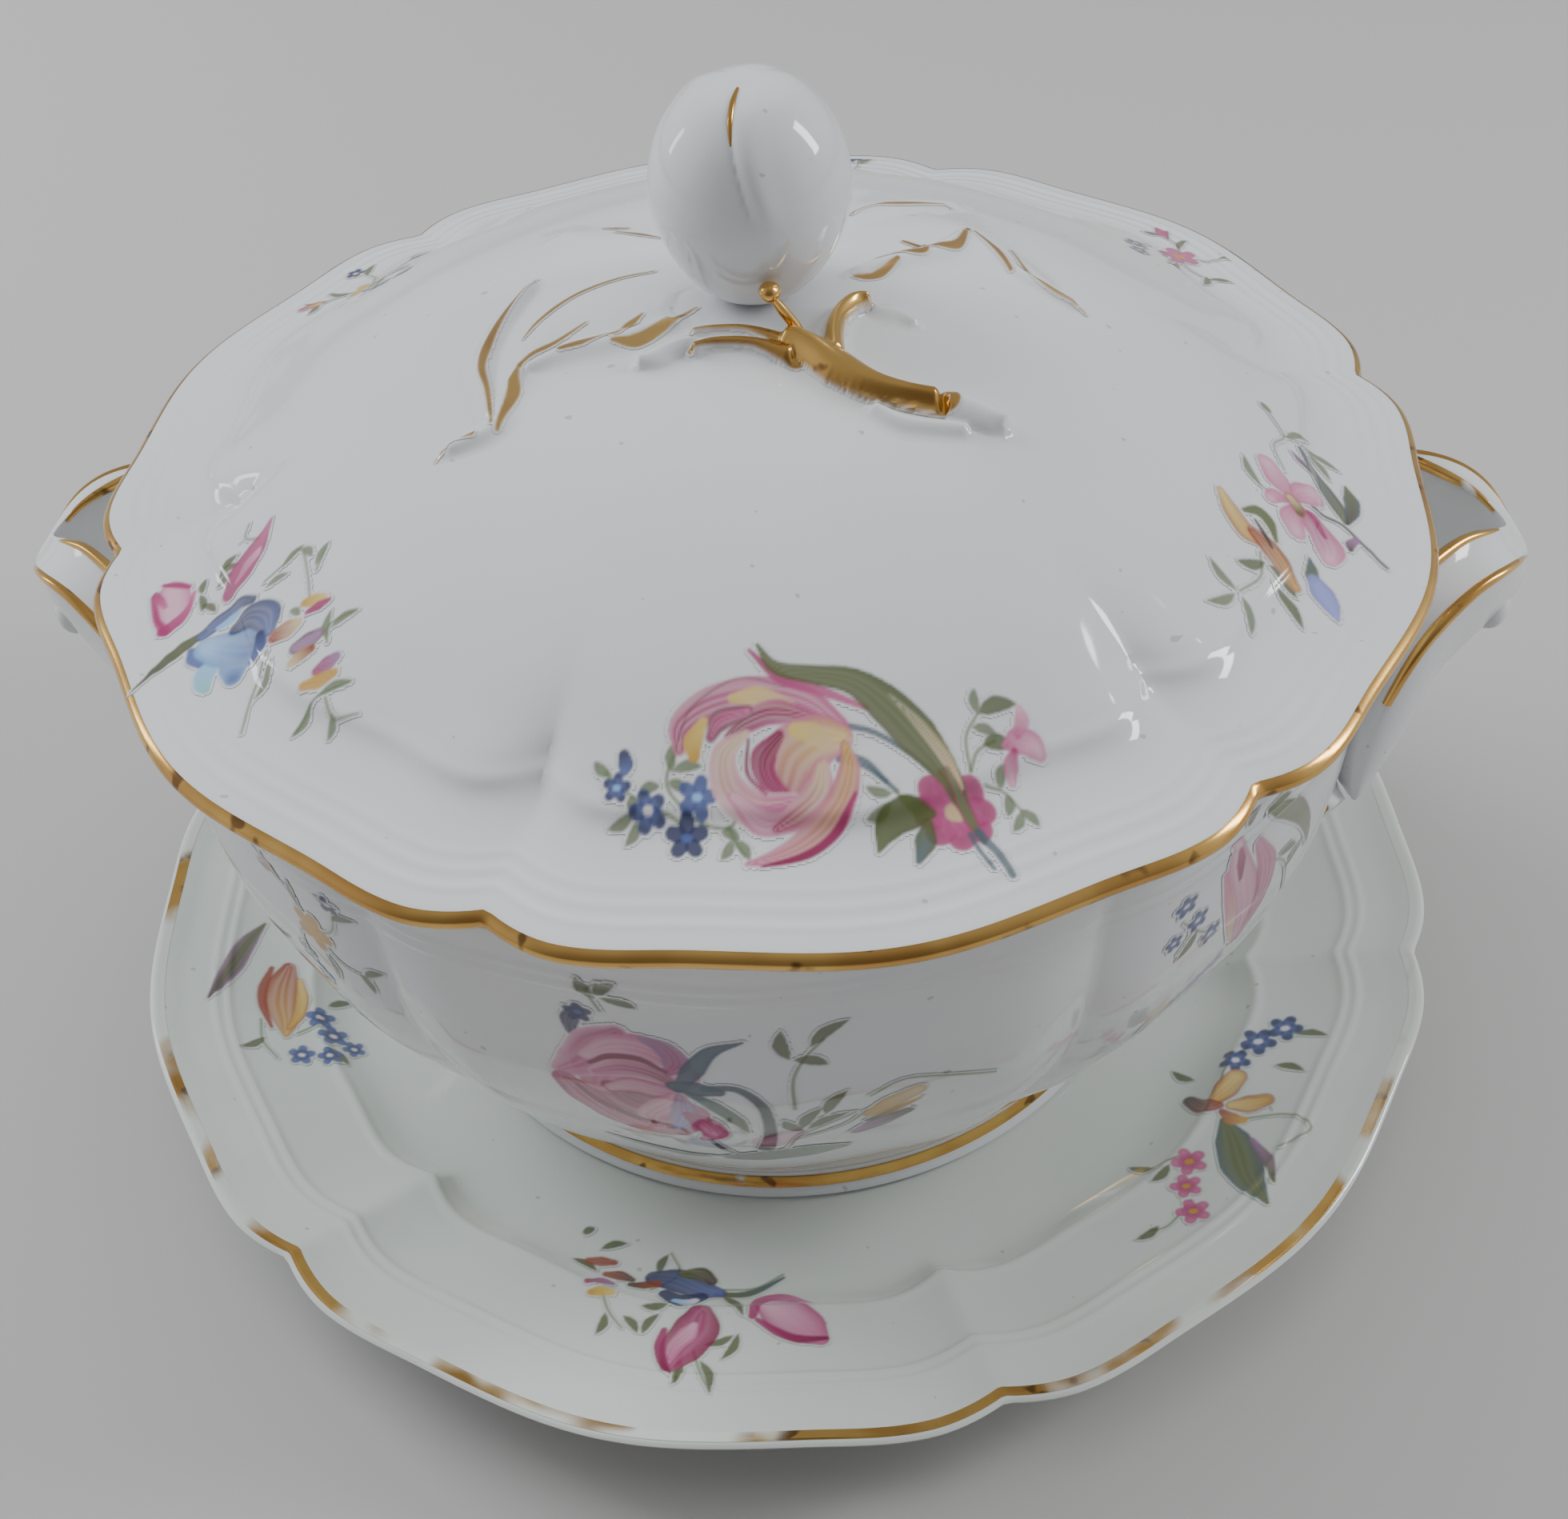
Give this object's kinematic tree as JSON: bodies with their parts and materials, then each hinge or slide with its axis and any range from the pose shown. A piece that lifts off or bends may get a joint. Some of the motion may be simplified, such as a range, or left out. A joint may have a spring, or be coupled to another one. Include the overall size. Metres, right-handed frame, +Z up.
{
  "type": "soup tureen",
  "caption": "Round lobed porcelain soup tureen with two side handles, a domed lid with a flower-bud knob, and a separate underplate.",
  "frame": {"origin": "centre of the assembly on the surface that it stands on", "axes": "+Z up along the tureen's axis, +X towards one handle, -Y towards the front"},
  "size_m": [0.298, 0.279, 0.2078],
  "materials": {
    "porcelain": "gloss",
    "porcelain_plate": "gloss",
    "gilding": "bright gold, worn",
    "flower_enamel": "gloss enamel colours"
  },
  "bodies": {
    "plate": {"underplate": "porcelain_plate", "underplate_foot_ring": "porcelain_plate"},
    "bowl": {"bowl_body": "porcelain", "bowl_foot": "porcelain", "handle_left": "porcelain", "handle_right": "porcelain", "handle_leaf_front_left": "porcelain", "handle_leaf_front_right": "porcelain", "handle_leaf_rear_left": "porcelain", "handle_leaf_rear_right": "porcelain"},
    "lid": {"lid_dome": "porcelain", "lid_flange": "porcelain", "finial_bud": "porcelain", "finial_branch": "porcelain", "finial_twig": "gilding", "finial_hook_twig": "gilding", "finial_leaf_left": "porcelain", "finial_leaf_right": "porcelain", "finial_leaf_back_left": "porcelain", "finial_leaf_back_right": "porcelain"}
  },
  "joints": [
    {"name": "bowl_lift", "type": "slide", "parent": "plate", "child": "bowl", "axis": [0, 0, 1], "range_m": [0, 0.06]},
    {"name": "lid_lift", "type": "slide", "parent": "bowl", "child": "lid", "axis": [0, 0, 1], "range_m": [0, 0.12]}
  ]
}
